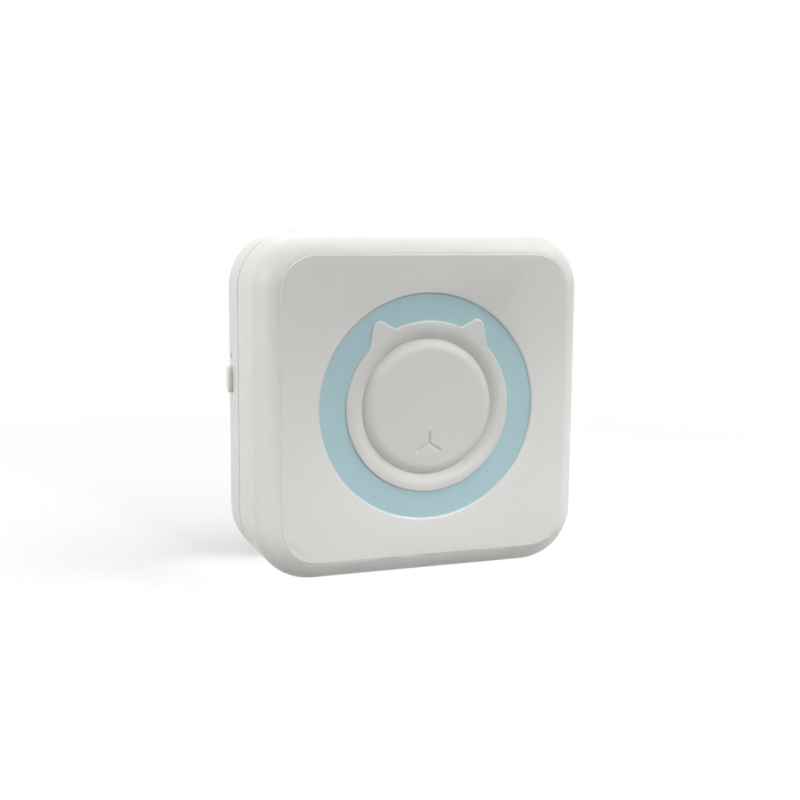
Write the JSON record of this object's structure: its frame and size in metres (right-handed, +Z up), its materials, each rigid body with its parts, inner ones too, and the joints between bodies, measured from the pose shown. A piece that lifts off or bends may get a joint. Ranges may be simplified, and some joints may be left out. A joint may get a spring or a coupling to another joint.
{
  "type": "thermal label printer",
  "caption": "Square pocket thermal label printer with a full-width hinged front cover, an eared round badge on its face, a side key, a paper roll bay, a print head and a geared platen.",
  "frame": {"origin": "middle of the flat bottom that the printer stands on, midway between the face plane and the back", "axes": "+X to the right of someone facing the printer, +Y from the face to the back, +Z up"},
  "size_m": [0.0861, 0.0394, 0.085],
  "materials": {
    "shell_white": "satin moulded",
    "accent_blue": "satin moulded",
    "inner_grey": "matte",
    "zinc_steel": "satin",
    "motor_steel": "satin",
    "sink_aluminium": "satin",
    "head_ceramic": "gloss",
    "platen_rubber": "matte",
    "gear_acetal": "satin",
    "board_green": "satin",
    "chip_black": "matte",
    "connector_cream": "satin",
    "battery_foil": "satin",
    "foam_black": "matte",
    "paper_white": "matte",
    "core_cardboard": "matte",
    "lead_red": "satin",
    "ribbon_amber": "satin",
    "lamp_clear": "gloss",
    "bush_brass": "satin"
  },
  "bodies": {
    "body": {"rear_shell": "shell_white", "hinge_pin": "zinc_steel", "tact_switch": "zinc_steel", "key_board": "board_green", "status_lamp": "lamp_clear", "light_pipe": "lamp_clear", "paper_tray": "inner_grey", "paper_sensor": "chip_black", "mechanism_frame": "zinc_steel", "motor_can": "motor_steel", "gear_studs": "zinc_steel", "head_springs": "zinc_steel", "main_board": "board_green", "board_chips": "chip_black", "board_connectors": "connector_cream", "charge_board": "board_green", "usb_socket": "zinc_steel", "usb_tongue": "chip_black", "battery_cell": "battery_foil", "battery_pad": "foam_black", "head_ribbon": "ribbon_amber", "motor_leads": "lead_red", "battery_leads": "lead_red", "key_leads": "lead_red", "charge_leads": "lead_red", "case_screws": "zinc_steel", "frame_screws": "zinc_steel", "board_screws": "zinc_steel", "motor_screws": "zinc_steel"},
    "cover": {"front_cover": "shell_white", "accent_ring": "accent_blue", "cat_badge": "shell_white", "platen_carrier": "inner_grey", "carrier_screws": "zinc_steel", "tear_bar": "zinc_steel", "platen_bushes": "bush_brass"},
    "platen": {"platen_shaft": "zinc_steel", "platen_rubber": "platen_rubber", "platen_gear": "gear_acetal"},
    "idler": {"idler_gear": "gear_acetal"},
    "reduction": {"reduction_gear": "gear_acetal"},
    "rotor": {"motor_shaft": "zinc_steel", "motor_pinion": "bush_brass"},
    "head": {"head_heatsink": "sink_aluminium", "head_substrate": "head_ceramic"},
    "key": {"power_key": "shell_white", "switch_plunger": "chip_black"},
    "roll": {"paper_roll": "paper_white", "roll_core": "core_cardboard"}
  },
  "joints": [
    {"name": "cover_hinge", "type": "hinge", "parent": "body", "child": "cover", "pos_m": [0, 0.00005, 0.0025], "axis": [1, 0, 0], "range_deg": [0, 95]},
    {"name": "platen_spin", "type": "hinge", "parent": "cover", "child": "platen", "pos_m": [0, -0.00165, 0.074], "axis": [1, 0, 0], "continuous": true},
    {"name": "idler_spin", "type": "hinge", "parent": "body", "child": "idler", "pos_m": [0.0327, 0.00795, 0.07299], "axis": [1, 0, 0], "continuous": true},
    {"name": "reduction_spin", "type": "hinge", "parent": "body", "child": "reduction", "pos_m": [0.0327, 0.00972, 0.06638], "axis": [1, 0, 0], "continuous": true},
    {"name": "rotor_spin", "type": "hinge", "parent": "body", "child": "rotor", "pos_m": [0.0362, 0.00999, 0.05873], "axis": [1, 0, 0], "continuous": true},
    {"name": "head_pivot", "type": "hinge", "parent": "body", "child": "head", "pos_m": [0, 0.00545, 0.0686], "axis": [1, 0, 0], "range_deg": [-4, 0], "stiffness_Nm_per_rad": 0.3, "springref_deg": 5.73, "deforming": ["head_springs"]},
    {"name": "key_press", "type": "slide", "parent": "body", "child": "key", "axis": [1, 0, 0], "range_m": [0, 0.0004], "stiffness_N_per_m": 600, "springref_m": -0.0003},
    {"name": "roll_spin", "type": "hinge", "parent": "body", "child": "roll", "pos_m": [0, -0.00065, 0.03445], "axis": [1, 0, 0], "continuous": true}
  ],
  "couplings": [
    {"joint": "idler_spin", "follows": "platen_spin", "ratio": -1.1818},
    {"joint": "reduction_spin", "follows": "platen_spin", "ratio": 2.1667},
    {"joint": "rotor_spin", "follows": "platen_spin", "ratio": -4.6944}
  ]
}
